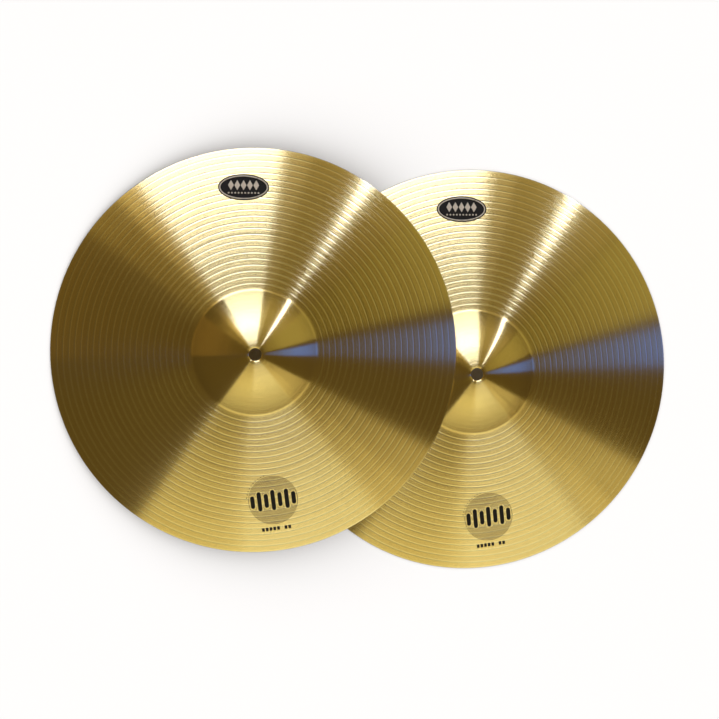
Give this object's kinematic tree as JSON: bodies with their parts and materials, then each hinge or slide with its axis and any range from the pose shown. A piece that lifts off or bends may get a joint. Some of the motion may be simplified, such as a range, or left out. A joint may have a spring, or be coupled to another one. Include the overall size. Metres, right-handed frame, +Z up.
{
  "type": "hand cymbals",
  "caption": "Matched pair of round brass hand cymbals with domed bells, concentric lathe grooves, open centre holes and plain printed emblems, one leaning on the other.",
  "frame": {"origin": "middle of the pair's footprint, on the surface that the pair lies on", "axes": "+X from the upper cymbal towards the lower one along the line of their centres, +Z up, away from the surface that the pair lies on"},
  "size_m": [0.6304, 0.4064, 0.0653],
  "materials": {
    "brass": "lathe-brushed, lacquered",
    "badge_ink": "black screen-printed ink",
    "pale_ink": "pale screen-printed ink",
    "ring_ink": "thin dark brown ink",
    "bold_ink": "black ink"
  },
  "bodies": {
    "lower_cymbal_body": {"lower_cymbal": "brass", "lower_badge_ground": "badge_ink", "lower_badge_keyline": "pale_ink", "lower_badge_diamonds": "pale_ink", "lower_badge_dots": "pale_ink", "lower_ring_print": "ring_ink", "lower_level_bars": "bold_ink", "lower_arc_dots": "bold_ink", "lower_series_dashes": "bold_ink"},
    "upper_cymbal_body": {"upper_cymbal": "brass", "upper_badge_ground": "badge_ink", "upper_badge_keyline": "pale_ink", "upper_badge_diamonds": "pale_ink", "upper_badge_dots": "pale_ink", "upper_ring_print": "ring_ink", "upper_level_bars": "bold_ink", "upper_arc_dots": "bold_ink", "upper_series_dashes": "bold_ink"}
  },
  "joints": [
    {"name": "upper_cymbal_lift", "type": "slide", "parent": "lower_cymbal_body", "child": "upper_cymbal_body", "axis": [0, 0, 1], "range_m": [0, 0.3]}
  ]
}
